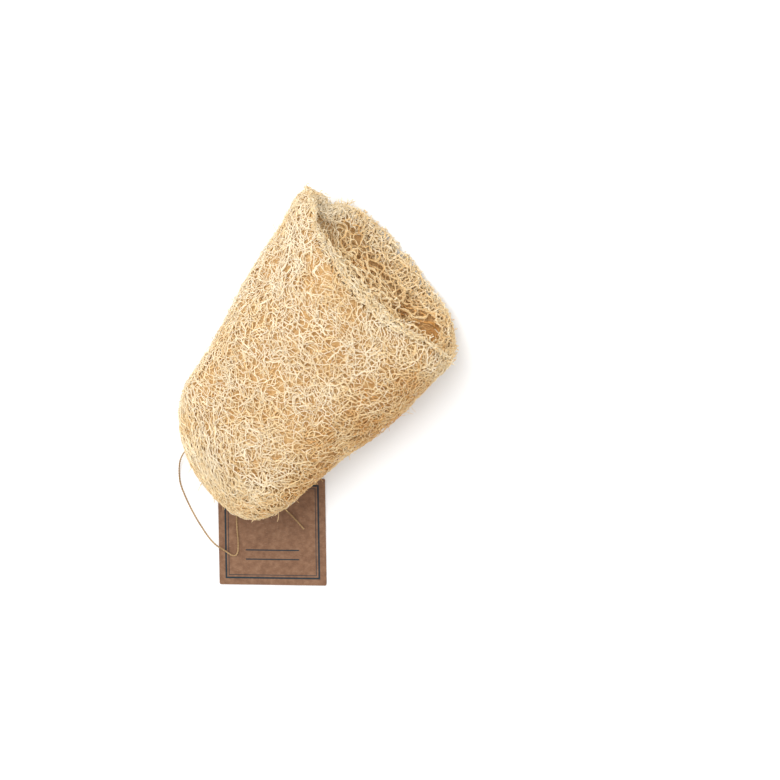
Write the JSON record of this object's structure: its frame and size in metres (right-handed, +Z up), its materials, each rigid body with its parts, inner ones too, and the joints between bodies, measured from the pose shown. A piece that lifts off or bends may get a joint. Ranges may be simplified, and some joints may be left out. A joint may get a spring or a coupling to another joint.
{
  "type": "natural loofah sponge",
  "caption": "Natural loofah sponge, a tapered flattened gourd skeleton of netted fibre, closed at one end and cut open at the other, with a card tag on twine.",
  "frame": {"origin": "on the flat spot of the underside that the sponge rests on, under its middle", "axes": "+X along the sponge to its wide, cut end, +Z up from the surface it lies on"},
  "size_m": [0.1832, 0.1309, 0.0578],
  "materials": {
    "loofah_fibre": "dry matt plant fibre",
    "kraft_card": "matt uncoated card",
    "jute_twine": "matt twisted fibre"
  },
  "bodies": {
    "root": {"loofah": "loofah_fibre", "card_tag": "kraft_card", "twine": "jute_twine", "twine_knot": "jute_twine"}
  },
  "joints": []
}
